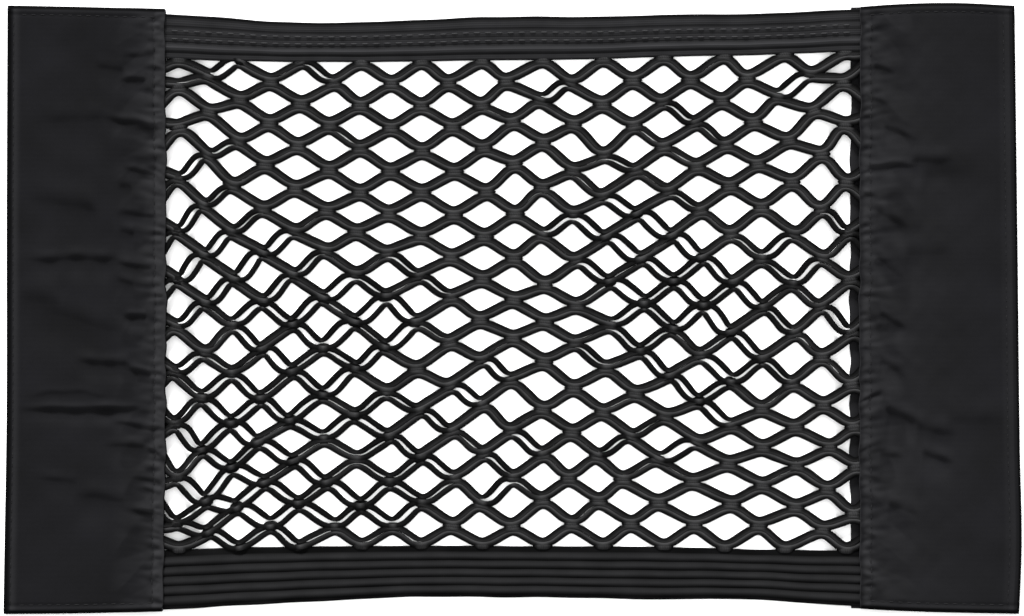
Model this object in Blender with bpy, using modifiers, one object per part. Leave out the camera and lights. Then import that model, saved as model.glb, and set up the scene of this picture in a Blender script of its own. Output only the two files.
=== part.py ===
"""Elastic cargo net: a knotted mesh between two elastic bands, held at both ends by folded cloth panels.

It lies flat on z = 0. +X runs along the net, +Y towards the stitched band, and the origin is under
the middle of its outline. All sizes are in metres.
"""

import math
from collections import namedtuple

import bmesh
import bpy
import numpy as np

# Driving dimensions
NET_LENGTH = 0.2856
NET_THICKNESS = 0.0012
STRAND_WIDTH = 0.0026
CELL_COLUMNS = 24
CELL_ROWS = 22
BAND_THICKNESS = 0.0012
BAND_EDGE_RADIUS = 0.0003
CLOTH_THICKNESS = 0.0010
LAYER_GAP = 0.0008
CLEARANCE = 0.0003

# The net and the bands rise from the surface to lie between the two layers of each panel
TUCK_HEIGHT = CLOTH_THICKNESS + CLEARANCE
RISE_START = 0.1140
RISE_END = 0.1270
PANEL_HEIGHT = 2 * CLOTH_THICKNESS + LAYER_GAP
SEAM_HEIGHT = 2 * TUCK_HEIGHT + NET_THICKNESS
FOLD_RADIUS = PANEL_HEIGHT / 2
FOLD_STEPS = 4

# Shares of the way from a panel's seam to its fold
SECTION_SHARES = (1.0, 0.82, 0.65, 0.48, 0.34, 0.18, 0.0)
SLOT_SHARE = 0.18
PRESSED_SHARE = 0.34

# A crease is a trough with a ridge on its upper side; the levels multiply its depth
CREASE_STEP = 0.0042
CREASE_LEVELS = (-0.2, -1.0, 0.8)
DEEPEST_TROUGH = 0.0005

# How far in from its border, as a share of half its size, the net's pulls fade out
PULL_FADE = 0.20

BandSection = namedtuple("BandSection", "x outer_y inner_y")
PanelSide = namedtuple("PanelSide", "y seam_x fold_x")
PanelEnd = namedtuple("PanelEnd", "share low_y high_y")
Crease = namedtuple("Crease", "seam_y fold_y reach depth")
PanelRow = namedtuple("PanelRow", "end seam_y fold_y reach relief")
Pull = namedtuple("Pull", "x y reach_x reach_y move_x move_y")

TOP_BAND = (
    BandSection(-0.1430, 0.1160, 0.0984),
    BandSection(-0.1200, 0.1149, 0.0975),
    BandSection(-0.0930, 0.1128, 0.0970),
    BandSection(-0.0440, 0.1131, 0.0970),
    BandSection(-0.0100, 0.1147, 0.0975),
    BandSection(0.0340, 0.1147, 0.0981),
    BandSection(0.0600, 0.1156, 0.0989),
    BandSection(0.0950, 0.1158, 0.0996),
    BandSection(0.1200, 0.1171, 0.1005),
    BandSection(0.1430, 0.1178, 0.1010),
)
BOTTOM_BAND = (
    BandSection(-0.1430, -0.1186, -0.0952),
    BandSection(-0.1080, -0.1168, -0.0940),
    BandSection(-0.0740, -0.1150, -0.0935),
    BandSection(-0.0440, -0.1136, -0.0933),
    BandSection(0.0050, -0.1136, -0.0934),
    BandSection(0.0500, -0.1143, -0.0936),
    BandSection(0.0980, -0.1147, -0.0947),
    BandSection(0.1200, -0.1160, -0.0950),
    BandSection(0.1430, -0.1174, -0.0952),
)

LEFT_SIDES = (
    PanelSide(-0.1200, -0.1376, -0.2000),
    PanelSide(-0.0950, -0.1372, -0.1996),
    PanelSide(-0.0550, -0.1366, -0.1989),
    PanelSide(0.0400, -0.1364, -0.1987),
    PanelSide(0.1200, -0.1368, -0.1984),
)
LEFT_ENDS = (
    PanelEnd(0.0, -0.1189, 0.1176),
    PanelEnd(0.5, -0.1197, 0.1184),
    PanelEnd(1.0, -0.1200, 0.1190),
)
LEFT_CREASES = (
    Crease(-0.0800, -0.0790, 0.45, 0.0003),
    Crease(-0.0575, -0.0540, 0.75, 0.0005),
    Crease(-0.0405, -0.0400, 1.60, 0.0006),
    Crease(-0.0270, -0.0215, 1.00, 0.0004),
    Crease(-0.0045, -0.0035, 0.50, 0.0003),
    Crease(0.0150, 0.0185, 0.95, 0.0004),
    Crease(0.0370, 0.0460, 0.70, 0.0005),
    Crease(0.0540, 0.0600, 0.60, 0.0004),
    Crease(0.0700, 0.0780, 1.10, 0.0004),
    Crease(0.0890, 0.0910, 0.50, 0.0005),
)
RIGHT_SIDES = (
    PanelSide(-0.1200, 0.1368, 0.1990),
    PanelSide(-0.0950, 0.1366, 0.2000),
    PanelSide(-0.0550, 0.1364, 0.1993),
    PanelSide(0.0250, 0.1364, 0.1984),
    PanelSide(0.1200, 0.1368, 0.1972),
)
RIGHT_ENDS = (
    PanelEnd(0.0, -0.1178, 0.1184),
    PanelEnd(0.35, -0.1190, 0.1198),
    PanelEnd(0.65, -0.1195, 0.1200),
    PanelEnd(1.0, -0.1199, 0.1190),
)
RIGHT_CREASES = (
    Crease(-0.0775, -0.0785, 0.50, 0.0003),
    Crease(-0.0590, -0.0580, 0.70, 0.0004),
    Crease(-0.0410, -0.0450, 1.50, 0.0006),
    Crease(-0.0260, -0.0270, 0.80, 0.0004),
    Crease(-0.0065, -0.0080, 0.65, 0.0004),
    Crease(0.0150, 0.0120, 0.80, 0.0004),
    Crease(0.0350, 0.0230, 0.80, 0.0005),
    Crease(0.0560, 0.0545, 1.20, 0.0006),
    Crease(0.0700, 0.0670, 0.60, 0.0004),
    Crease(0.0920, 0.0860, 0.60, 0.0004),
)
# The right panel's back layer shows past its front one
RIGHT_BACK_REACH = 0.0034

# Where the resting net is drawn away from an even grid
PULLS = (
    Pull(-0.085, -0.015, 0.045, 0.062, -0.0034, 0.0),
    Pull(0.060, 0.008, 0.038, 0.048, 0.0036, 0.0),
    Pull(0.112, 0.008, 0.024, 0.050, 0.0026, 0.0),
    Pull(0.100, -0.062, 0.042, 0.028, 0.0034, 0.0),
    Pull(0.105, 0.088, 0.030, 0.014, -0.0030, 0.0),
    Pull(-0.132, 0.058, 0.022, 0.034, 0.0, 0.0070),
    Pull(-0.085, 0.028, 0.028, 0.024, 0.0, 0.0030),
    Pull(-0.045, 0.008, 0.024, 0.022, 0.0, 0.0024),
    Pull(-0.002, -0.028, 0.028, 0.028, 0.0, 0.0046),
    Pull(-0.125, -0.066, 0.020, 0.026, 0.0, -0.0064),
    Pull(0.130, 0.066, 0.018, 0.026, 0.0, 0.0060),
    Pull(0.108, -0.030, 0.036, 0.036, 0.0, -0.0054),
)

CORD_COLOUR = (0.012, 0.012, 0.013, 1.0)
BAND_COLOUR = (0.017, 0.017, 0.018, 1.0)
CLOTH_COLOUR = (0.019, 0.019, 0.020, 1.0)


def clear_scene():
    for obj in list(bpy.data.objects):
        bpy.data.objects.remove(obj, do_unlink=True)


def eased(value):
    """0 below 0, 1 above 1, and a smooth rise between."""
    held = np.clip(value, 0.0, 1.0)
    return held * held * (3.0 - 2.0 * held)


def curve_value(rows, key, field, at):
    """The field at a place along the rows' key column, on a cubic curve through the rows."""
    keys = np.array([getattr(row, key) for row in rows])
    values = np.array([getattr(row, field) for row in rows])
    slopes = np.gradient(values, keys)
    held = np.clip(at, keys[0], keys[-1])
    first = np.clip(np.searchsorted(keys, held) - 1, 0, len(keys) - 2)
    span = keys[first + 1] - keys[first]
    part = (held - keys[first]) / span
    bend_in = part * (1.0 - part) ** 2 * slopes[first]
    bend_out = part**2 * (1.0 - part) * slopes[first + 1]
    blend = eased(part)
    return values[first] * (1.0 - blend) + values[first + 1] * blend + span * (bend_in - bend_out)


def rise(x):
    """Height of the underside of the net and the bands."""
    return TUCK_HEIGHT * eased((abs(x) - RISE_START) / (RISE_END - RISE_START))


def column_x(column):
    return NET_LENGTH * (column / CELL_COLUMNS - 0.5)


def knot_place(column, row):
    """Where the knot at a half-cell column and row rests; the net's border follows the bands."""
    x = column_x(column)
    high_y = curve_value(TOP_BAND, "x", "inner_y", x) - CLEARANCE
    low_y = curve_value(BOTTOM_BAND, "x", "inner_y", x) + CLEARANCE
    down = row / CELL_ROWS
    y = high_y + (low_y - high_y) * down
    across_border = 1.0 - abs(2.0 * column / CELL_COLUMNS - 1.0)
    down_border = 1.0 - abs(2.0 * down - 1.0)
    fade = eased(across_border / PULL_FADE) * eased(down_border / PULL_FADE)
    moved_x = x
    moved_y = y
    for pull in PULLS:
        off_x = (x - pull.x) / pull.reach_x
        off_y = (y - pull.y) / pull.reach_y
        share = fade * math.exp(-(off_x**2) - off_y**2)
        moved_x += share * pull.move_x
        moved_y += share * pull.move_y
    return moved_x, moved_y, rise(moved_x)


def cell_corners(column, row):
    """The four knots round a cell; at the border a missing one becomes the border point beside it."""
    around = ((column - 1, row), (column, row - 1), (column + 1, row), (column, row + 1))
    corners = []
    for near_column, near_row in reversed(around):
        corner = (min(max(near_column, 0), CELL_COLUMNS), min(max(near_row, 0), CELL_ROWS))
        if corner not in corners:
            corners.append(corner)
    return corners


def net_surface():
    """The net as an open surface: a grid of diamond cells, each inset by half a strand and opened."""
    grid = bmesh.new()
    knots = {}
    open_cells = []
    for column in range(CELL_COLUMNS + 1):
        for row in range(column % 2, CELL_ROWS + 1, 2):
            corners = cell_corners(column, row)
            for corner in corners:
                if corner not in knots:
                    knots[corner] = grid.verts.new(knot_place(*corner))
            face = grid.faces.new([knots[corner] for corner in corners])
            if len(corners) == 4:
                open_cells.append(face)
    bmesh.ops.recalc_face_normals(grid, faces=grid.faces)
    bmesh.ops.inset_individual(
        grid, faces=open_cells, thickness=STRAND_WIDTH / 2, use_even_offset=True
    )
    bmesh.ops.delete(grid, geom=open_cells, context="FACES")
    return grid


def band_surface(sections):
    """The band's underside, with a station at each of the net's columns."""
    grid = bmesh.new()
    bmesh.ops.create_grid(grid, x_segments=CELL_COLUMNS, y_segments=1, size=1.0)
    for vert in grid.verts:
        x = vert.co.x * NET_LENGTH / 2
        outer_y = curve_value(sections, "x", "outer_y", x)
        inner_y = curve_value(sections, "x", "inner_y", x)
        y = max(outer_y, inner_y) if vert.co.y > 0 else min(outer_y, inner_y)
        vert.co = (x, y, rise(x))
    return grid


def panel_rows(ends, creases):
    """A panel's sections in order: its low end, three along each crease, and its high end."""
    low, high = (
        PanelRow(end, curve_value(ends, "share", end, 0.0), curve_value(ends, "share", end, 1.0), 1.0, 0.0)
        for end in ("low_y", "high_y")
    )
    rows = [low]
    for crease in creases:
        for step, level in enumerate(CREASE_LEVELS, -1):
            shift = step * CREASE_STEP
            seam_y = crease.seam_y + shift
            fold_y = crease.fold_y + shift
            rows.append(PanelRow(None, seam_y, fold_y, crease.reach, level * crease.depth))
    rows.append(high)
    return rows


def front_height(share, row):
    """Height of a panel's front face: raised over the tucked net, pressed down beyond it."""
    pressed = eased((share - SLOT_SHARE) / (PRESSED_SHARE - SLOT_SHARE))
    level = SEAM_HEIGHT + (PANEL_HEIGHT - SEAM_HEIGHT) * pressed
    kept = 1.0 - eased(share / row.reach)
    return level + max(row.relief * kept, -DEEPEST_TROUGH * pressed)


def panel_section(side, seam_x, fold_x, back_reach, row):
    """Points (share, x, z) round a panel's outer face: back, round the fold, then along the front."""
    turn_x = fold_x - side * FOLD_RADIUS
    points = [(0.0, seam_x - side * back_reach, 0.0)]
    for step in range(FOLD_STEPS):
        angle = math.pi * (step / FOLD_STEPS - 0.5)
        x = turn_x + side * FOLD_RADIUS * math.cos(angle)
        points.append((1.0, x, FOLD_RADIUS * (1.0 + math.sin(angle))))
    for share in SECTION_SHARES:
        x = seam_x + (turn_x - seam_x) * share
        points.append((share, x, front_height(share, row)))
    return points


def panel_surface(side, sides, ends, creases, back_reach):
    """The outer face of a folded panel, with a row of points along each crease line."""
    rows = panel_rows(ends, creases)
    row_steps = len(rows) - 1
    column_steps = FOLD_STEPS + len(SECTION_SHARES)
    grid = bmesh.new()
    bmesh.ops.create_grid(grid, x_segments=column_steps, y_segments=row_steps, size=1.0)
    for vert in grid.verts:
        column = round((vert.co.x + 1.0) / 2.0 * column_steps)
        row = rows[round((vert.co.y + 1.0) / 2.0 * row_steps)]
        seam_x = curve_value(sides, "y", "seam_x", row.seam_y)
        fold_x = curve_value(sides, "y", "fold_x", row.fold_y)
        share, x, z = panel_section(side, seam_x, fold_x, back_reach, row)[column]
        if row.end:
            y = curve_value(ends, "share", row.end, share)
        else:
            y = row.seam_y + (row.fold_y - row.seam_y) * share
        vert.co = (x, y, z)
    if side > 0:
        bmesh.ops.reverse_faces(grid, faces=grid.faces)
    grid.normal_update()
    return grid


def make_material(name, colour, roughness):
    material = bpy.data.materials.new(name)
    material.use_nodes = True
    shader = material.node_tree.nodes["Principled BSDF"]
    shader.inputs["Base Color"].default_value = colour
    shader.inputs["Roughness"].default_value = roughness
    shader.inputs["Metallic"].default_value = 0.0
    return material


def add_piece(name, surface, material, thickness, offset):
    """An object of the cloth's thickness, grown from its open surface along the normals."""
    mesh = bpy.data.meshes.new(name)
    surface.to_mesh(mesh)
    surface.free()
    mesh.materials.append(material)
    piece = bpy.data.objects.new(name, mesh)
    cloth = piece.modifiers.new("Cloth", "SOLIDIFY")
    cloth.thickness = thickness
    cloth.offset = offset
    cloth.use_even_offset = True
    return piece


def add_band(name, sections, material):
    band = add_piece(name, band_surface(sections), material, BAND_THICKNESS, 1.0)
    edge = band.modifiers.new("Edge", "BEVEL")
    edge.width = BAND_EDGE_RADIUS
    edge.segments = 1
    edge.limit_method = "ANGLE"
    edge.angle_limit = math.radians(60.0)
    return band


def main():
    clear_scene()
    collection = bpy.data.collections.new("cargo_net")
    bpy.context.scene.collection.children.link(collection)
    root = bpy.data.objects.new("cargo_net_root", None)
    collection.objects.link(root)

    cord = make_material("elastic_cord", CORD_COLOUR, 0.75)
    band = make_material("elastic_band", BAND_COLOUR, 0.85)
    cloth = make_material("panel_cloth", CLOTH_COLOUR, 0.90)

    left = panel_surface(-1, LEFT_SIDES, LEFT_ENDS, LEFT_CREASES, 0.0)
    right = panel_surface(1, RIGHT_SIDES, RIGHT_ENDS, RIGHT_CREASES, RIGHT_BACK_REACH)
    pieces = (
        add_piece("net", net_surface(), cord, NET_THICKNESS, 1.0),
        add_band("top_band", TOP_BAND, band),
        add_band("bottom_band", BOTTOM_BAND, band),
        add_piece("left_panel", left, cloth, CLOTH_THICKNESS, -1.0),
        add_piece("right_panel", right, cloth, CLOTH_THICKNESS, -1.0),
    )
    for piece in pieces:
        collection.objects.link(piece)
        piece.parent = root


main()
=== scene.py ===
"""The looks of an elastic cargo net: paired cords, two elastic bands and two folded cloth panels.

The net lies flat on z = 0, +X along it and +Y towards the stitched band, in metres. The pieces take the
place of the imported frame's solids, and are worked out from the same named sizes.
"""

import math
from collections import namedtuple

import bpy
import numpy as np
from bpy.props import FloatProperty, FloatVectorProperty, IntProperty, PointerProperty
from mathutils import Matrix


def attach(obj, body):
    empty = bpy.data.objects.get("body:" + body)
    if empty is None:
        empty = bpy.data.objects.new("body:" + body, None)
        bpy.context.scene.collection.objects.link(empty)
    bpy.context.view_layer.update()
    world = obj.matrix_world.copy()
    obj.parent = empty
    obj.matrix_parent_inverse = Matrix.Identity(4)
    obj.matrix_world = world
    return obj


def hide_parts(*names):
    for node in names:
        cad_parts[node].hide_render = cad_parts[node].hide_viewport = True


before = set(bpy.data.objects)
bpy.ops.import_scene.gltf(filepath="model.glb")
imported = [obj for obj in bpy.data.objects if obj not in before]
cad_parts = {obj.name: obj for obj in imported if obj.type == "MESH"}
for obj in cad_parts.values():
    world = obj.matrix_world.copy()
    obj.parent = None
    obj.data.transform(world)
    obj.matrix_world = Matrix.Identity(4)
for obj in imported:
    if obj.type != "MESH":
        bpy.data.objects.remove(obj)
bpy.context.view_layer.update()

bl_info = {
    "name": "Cargo Net",
    "version": (1, 0, 0),
    "blender": (4, 5, 0),
    "location": "3D View > Sidebar > Cargo Net",
    "description": "Builds an elastic cargo net from cords, knots, two elastic bands and two cloth panels",
    "category": "Add Mesh",
}

BODY = "root"

# Sizes shared with the frame's solids
NET_LENGTH = 0.2856
CELL_COLUMNS = 24
CELL_ROWS = 22
CLEARANCE = 0.0003
TUCK_HEIGHT = 0.0013
RISE_START = 0.1140
RISE_END = 0.1270
PANEL_HEIGHT = 0.0028
SEAM_HEIGHT = 0.0038
SLOT_SHARE = 0.18
PRESSED_SHARE = 0.34
PULL_FADE = 0.20
NET_THICKNESS = 0.0012

# Values of the visible pieces only
FIELD_WAVES = 7
SMALL_PULL_FADE = 0.09
GRID_UNEVENNESS = 0.0005
PRESS_START = 0.120
PRESS_RUN = 0.008
LAYER_GAP = 0.0002

BandSection = namedtuple("BandSection", "x outer_y inner_y")
PanelSide = namedtuple("PanelSide", "y seam_x fold_x")
PanelEnd = namedtuple("PanelEnd", "share low_y high_y")
Crease = namedtuple("Crease", "near near_y far far_y depth width")
Pull = namedtuple("Pull", "x y reach_x reach_y move_x move_y")
Slack = namedtuple("Slack", "x y reach_x reach_y rising falling")
Groove = namedtuple("Groove", "place width depth")
# How much painted light pales the cloth along the seam, below 0 painted shade, and how far it reaches
Wear = namedtuple("Wear", "amount reach")
PanelShape = namedtuple(
    "PanelShape",
    "name side sides ends creases back_reach flat_width seed row_shift "
    "fold_dark fold_width fold_wear strip_wear seam_wear facet_start facet_run",
)


def rows_of(kind, *rows):
    """A table's rows, each as a named tuple of its kind."""
    return tuple(kind(*row) for row in rows)


TOP_BAND = rows_of(
    BandSection,
    (-0.1430, 0.1160, 0.0984),
    (-0.1200, 0.1149, 0.0975),
    (-0.0930, 0.1128, 0.0970),
    (-0.0440, 0.1131, 0.0970),
    (-0.0100, 0.1147, 0.0975),
    (0.0340, 0.1147, 0.0981),
    (0.0600, 0.1156, 0.0989),
    (0.0950, 0.1158, 0.0996),
    (0.1200, 0.1171, 0.1005),
    (0.1430, 0.1178, 0.1010),
)
BOTTOM_BAND = rows_of(
    BandSection,
    (-0.1430, -0.1186, -0.0952),
    (-0.1080, -0.1168, -0.0940),
    (-0.0740, -0.1150, -0.0935),
    (-0.0440, -0.1136, -0.0933),
    (0.0050, -0.1136, -0.0934),
    (0.0500, -0.1143, -0.0936),
    (0.0980, -0.1147, -0.0947),
    (0.1200, -0.1160, -0.0950),
    (0.1430, -0.1174, -0.0952),
)
LEFT_SIDES = rows_of(
    PanelSide,
    (-0.1200, -0.1376, -0.2000),
    (-0.0950, -0.1372, -0.1996),
    (-0.0550, -0.1366, -0.1989),
    (0.0400, -0.1364, -0.1987),
    (0.1200, -0.1368, -0.1984),
)
LEFT_ENDS = rows_of(
    PanelEnd,
    (0.0, -0.1189, 0.1176),
    (0.5, -0.1197, 0.1184),
    (1.0, -0.1200, 0.1190),
)
RIGHT_SIDES = rows_of(
    PanelSide,
    (-0.1200, 0.1368, 0.1990),
    (-0.0950, 0.1366, 0.2000),
    (-0.0550, 0.1364, 0.1993),
    (0.0250, 0.1364, 0.1984),
    (0.1200, 0.1368, 0.1972),
)
RIGHT_ENDS = rows_of(
    PanelEnd,
    (0.0, -0.1178, 0.1184),
    (0.35, -0.1190, 0.1198),
    (0.65, -0.1195, 0.1200),
    (1.0, -0.1199, 0.1190),
)
# A crease runs between two shares of the way from seam to fold; its width is that of its sharp side
LEFT_CREASES = rows_of(
    Crease,
    (0.00, 0.1046, 0.12, 0.1046, 0.0003, 0.0009),
    (0.05, 0.0985, 0.29, 0.0985, 0.0005, 0.0013),
    (0.25, 0.0925, 0.47, 0.0950, 0.0005, 0.0018),
    (0.11, 0.0893, 0.31, 0.0889, 0.0009, 0.0013),
    (0.00, 0.0703, 0.43, 0.0743, 0.0009, 0.0014),
    (0.36, 0.0738, 0.86, 0.0725, 0.0004, 0.0030),
    (0.02, 0.0518, 0.29, 0.0546, 0.0007, 0.0011),
    (0.21, 0.0465, 0.31, 0.0468, 0.0005, 0.0016),
    (0.05, 0.0363, 0.33, 0.0360, 0.0006, 0.0014),
    (0.40, 0.0362, 0.93, 0.0430, 0.0007, 0.0040),
    (0.19, 0.0279, 0.31, 0.0298, 0.0006, 0.0015),
    (0.07, 0.0155, 0.33, 0.0175, 0.0008, 0.0013),
    (0.29, 0.0190, 0.95, 0.0184, 0.0008, 0.0018),
    (0.19, 0.0084, 0.32, 0.0110, 0.0005, 0.0015),
    (0.66, 0.0008, 0.98, 0.0030, 0.0005, 0.0040),
    (0.11, -0.0043, 0.29, -0.0038, 0.0009, 0.0013),
    (0.20, -0.0120, 0.86, 0.0002, 0.0005, 0.0035),
    (0.08, -0.0272, 0.26, -0.0233, 0.0009, 0.0015),
    (0.21, -0.0227, 0.60, -0.0218, 0.0009, 0.0018),
    (0.34, -0.0340, 0.93, -0.0340, 0.0003, 0.0013),
    (0.14, -0.0403, 0.98, -0.0398, 0.0013, 0.0013),
    (0.02, -0.0480, 0.37, -0.0449, 0.0008, 0.0013),
    (-0.02, -0.0602, 0.13, -0.0553, 0.0006, 0.0010),
    (0.10, -0.0550, 0.41, -0.0539, 0.0006, 0.0014),
    (0.00, -0.0697, 0.23, -0.0654, 0.0004, 0.0009),
    (0.00, -0.0732, 0.16, -0.0700, 0.0004, 0.0009),
    (0.55, -0.0688, 0.86, -0.0672, 0.0003, 0.0016),
    (0.21, -0.0762, 0.61, -0.0750, 0.0006, 0.0026),
    (0.04, -0.0800, 0.23, -0.0788, 0.0006, 0.0011),
    (0.00, -0.0985, 0.10, -0.0975, 0.0004, 0.0012),
)
RIGHT_CREASES = rows_of(
    Crease,
    (0.08, 0.0948, 0.24, 0.0916, 0.0006, 0.0011),
    (0.02, 0.0828, 0.19, 0.0788, 0.0004, 0.0012),
    (0.14, 0.0713, 0.39, 0.0650, 0.0006, 0.0015),
    (0.04, 0.0548, 0.39, 0.0564, 0.0011, 0.0012),
    (0.32, 0.0566, 0.64, 0.0577, 0.0008, 0.0024),
    (0.38, 0.0508, 0.78, 0.0522, 0.0005, 0.0045),
    (0.09, 0.0378, 0.35, 0.0298, 0.0007, 0.0022),
    (0.09, 0.0198, 0.30, 0.0092, 0.0007, 0.0022),
    (0.27, 0.0198, 0.64, 0.0216, 0.0005, 0.0035),
    (0.12, -0.0028, 0.31, -0.0091, 0.0008, 0.0016),
    (0.11, -0.0215, 0.32, -0.0289, 0.0008, 0.0025),
    (0.05, -0.0350, 0.15, -0.0330, 0.0004, 0.0012),
    (0.15, -0.0410, 0.41, -0.0462, 0.0010, 0.0022),
    (0.35, -0.0474, 0.64, -0.0507, 0.0008, 0.0028),
    (0.53, -0.0448, 0.97, -0.0462, 0.0005, 0.0040),
    (0.12, -0.0582, 0.31, -0.0596, 0.0006, 0.0020),
    (0.39, -0.0568, 0.62, -0.0617, 0.0007, 0.0020),
    (0.00, -0.0657, 0.14, -0.0682, 0.0004, 0.0012),
    (0.16, -0.0773, 0.39, -0.0822, 0.0007, 0.0022),
    (0.00, -0.0888, 0.11, -0.0912, 0.0005, 0.0012),
)

# Where the resting net is drawn away from an even grid, first as the frame's solid is
PULLS = rows_of(
    Pull,
    (-0.085, -0.015, 0.045, 0.062, -0.0034, 0.0),
    (0.060, 0.008, 0.038, 0.048, 0.0036, 0.0),
    (0.112, 0.008, 0.024, 0.050, 0.0026, 0.0),
    (0.100, -0.062, 0.042, 0.028, 0.0034, 0.0),
    (0.105, 0.088, 0.030, 0.014, -0.0030, 0.0),
    (-0.132, 0.058, 0.022, 0.034, 0.0, 0.0070),
    (-0.085, 0.028, 0.028, 0.024, 0.0, 0.0030),
    (-0.045, 0.008, 0.024, 0.022, 0.0, 0.0024),
    (-0.002, -0.028, 0.028, 0.028, 0.0, 0.0046),
    (-0.125, -0.066, 0.020, 0.026, 0.0, -0.0064),
    (0.130, 0.066, 0.018, 0.026, 0.0, 0.0060),
    (0.108, -0.030, 0.036, 0.036, 0.0, -0.0054),
)
# and then as single cells are
SMALL_PULLS = rows_of(
    Pull,
    (0.062, -0.066, 0.032, 0.019, -0.0030, 0.0),
    (-0.105, -0.054, 0.020, 0.020, -0.0018, 0.0),
    (-0.116, 0.034, 0.014, 0.013, -0.0020, 0.0),
    (-0.036, -0.014, 0.020, 0.014, -0.0017, 0.0),
    (0.102, 0.092, 0.040, 0.008, -0.0018, 0.0),
    (-0.100, 0.066, 0.034, 0.024, 0.0, 0.0019),
    (0.012, 0.066, 0.013, 0.024, 0.0, 0.0017),
    (0.088, 0.043, 0.016, 0.016, 0.0, 0.0021),
    (0.062, -0.018, 0.026, 0.022, 0.0, -0.0019),
    (-0.093, -0.046, 0.022, 0.016, 0.0, -0.0016),
    (-0.132, -0.074, 0.012, 0.013, 0.0, -0.0040),
    (-0.132, 0.074, 0.009, 0.022, 0.0, 0.0030),
    (0.134, 0.074, 0.008, 0.016, 0.0, 0.0036),
    (0.134, -0.034, 0.009, 0.022, 0.0, -0.0036),
    (-0.070, 0.045, 0.012, 0.010, 0.0012, -0.0010),
    (0.018, 0.045, 0.010, 0.012, -0.0012, 0.0008),
    (-0.020, -0.060, 0.012, 0.010, 0.0014, 0.0006),
    (0.045, -0.052, 0.022, 0.030, -0.0016, 0.0),
    (0.055, -0.070, 0.022, 0.008, -0.0018, 0.0),
    (0.120, -0.064, 0.015, 0.022, 0.0026, -0.0004),
    (0.116, 0.046, 0.014, 0.016, 0.0024, 0.0),
    (0.006, 0.088, 0.034, 0.007, -0.0024, 0.0),
    (-0.083, 0.088, 0.010, 0.007, 0.0026, 0.0),
    (-0.014, 0.045, 0.018, 0.020, 0.0016, 0.0),
    (-0.098, 0.040, 0.022, 0.018, -0.0017, 0.0),
    (0.036, 0.036, 0.012, 0.011, -0.0018, 0.0),
    (0.052, 0.062, 0.016, 0.010, -0.0014, 0.0),
    (0.046, -0.001, 0.014, 0.012, 0.0016, 0.0),
    (-0.085, -0.044, 0.020, 0.012, -0.0013, 0.0),
    (-0.128, -0.035, 0.012, 0.018, -0.0018, 0.0),
    (0.090, -0.080, 0.018, 0.012, 0.0018, 0.0),
    (-0.022, -0.027, 0.011, 0.010, 0.0020, 0.0),
    (-0.070, -0.084, 0.024, 0.010, 0.0020, 0.0),
    (-0.133, 0.060, 0.010, 0.034, 0.0, 0.0030),
    (0.134, 0.072, 0.010, 0.018, 0.0, 0.0036),
    (0.134, -0.036, 0.010, 0.028, 0.0, -0.0038),
    (-0.133, -0.066, 0.010, 0.022, 0.0, -0.0044),
    (-0.118, -0.070, 0.012, 0.014, 0.0, -0.0026),
    (0.004, 0.058, 0.013, 0.016, 0.0, 0.0020),
    (0.034, 0.052, 0.016, 0.014, 0.0, -0.0018),
    (0.016, 0.006, 0.013, 0.011, 0.0, -0.0030),
    (0.108, 0.050, 0.014, 0.012, 0.0, 0.0021),
    (-0.072, 0.010, 0.020, 0.018, 0.0, 0.0013),
    (-0.092, -0.036, 0.028, 0.013, 0.0, -0.0018),
    (-0.038, -0.018, 0.011, 0.010, 0.0, -0.0020),
    (0.012, -0.035, 0.010, 0.010, 0.0, -0.0024),
    (0.086, -0.036, 0.017, 0.015, 0.0, -0.0023),
    (-0.058, -0.074, 0.030, 0.015, 0.0, -0.0016),
    (-0.012, -0.084, 0.011, 0.010, 0.0, -0.0030),
    (-0.012, -0.033, 0.026, 0.006, -0.0014, 0.0),
    (0.072, -0.077, 0.010, 0.005, 0.0028, 0.0),
    (0.083, -0.068, 0.008, 0.005, 0.0018, 0.0),
    (0.107, -0.068, 0.008, 0.005, -0.0016, 0.0),
    (0.036, -0.068, 0.009, 0.005, -0.0015, 0.0),
    (0.036, 0.066, 0.008, 0.012, 0.0, -0.0016),
    (-0.119, -0.016, 0.016, 0.007, 0.0, -0.0014),
    (0.131, -0.012, 0.008, 0.012, 0.0, -0.0014),
    (-0.083, -0.086, 0.009, 0.006, 0.0, -0.0016),
    (0.135, -0.035, 0.009, 0.070, 0.0020, 0.0),
    (0.134, -0.040, 0.008, 0.018, 0.0, 0.0022),
    (0.134, -0.078, 0.010, 0.008, 0.0, -0.0030),
    (-0.120, -0.074, 0.020, 0.012, 0.0, 0.0026),
    (-0.134, -0.084, 0.008, 0.008, -0.0020, 0.0),
    (0.1445, 0.092, 0.004, 0.007, -0.0034, 0.0078),
    (0.131, 0.060, 0.010, 0.025, -0.0011, 0.0),
    (0.120, 0.039, 0.008, 0.008, -0.0010, -0.0007),
    (0.122, -0.046, 0.008, 0.014, 0.0012, 0.0004),
    (0.134, -0.028, 0.008, 0.008, 0.0, 0.0012),
    (0.123, -0.072, 0.007, 0.006, 0.0, -0.0015),
    (0.126, -0.088, 0.010, 0.008, 0.0020, -0.0008),
    (-0.134, 0.087, 0.008, 0.006, -0.0022, 0.0),
    (-0.132, -0.046, 0.006, 0.006, 0.0012, -0.0004),
    (-0.121, 0.040, 0.008, 0.007, 0.0012, -0.0005),
)
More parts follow.
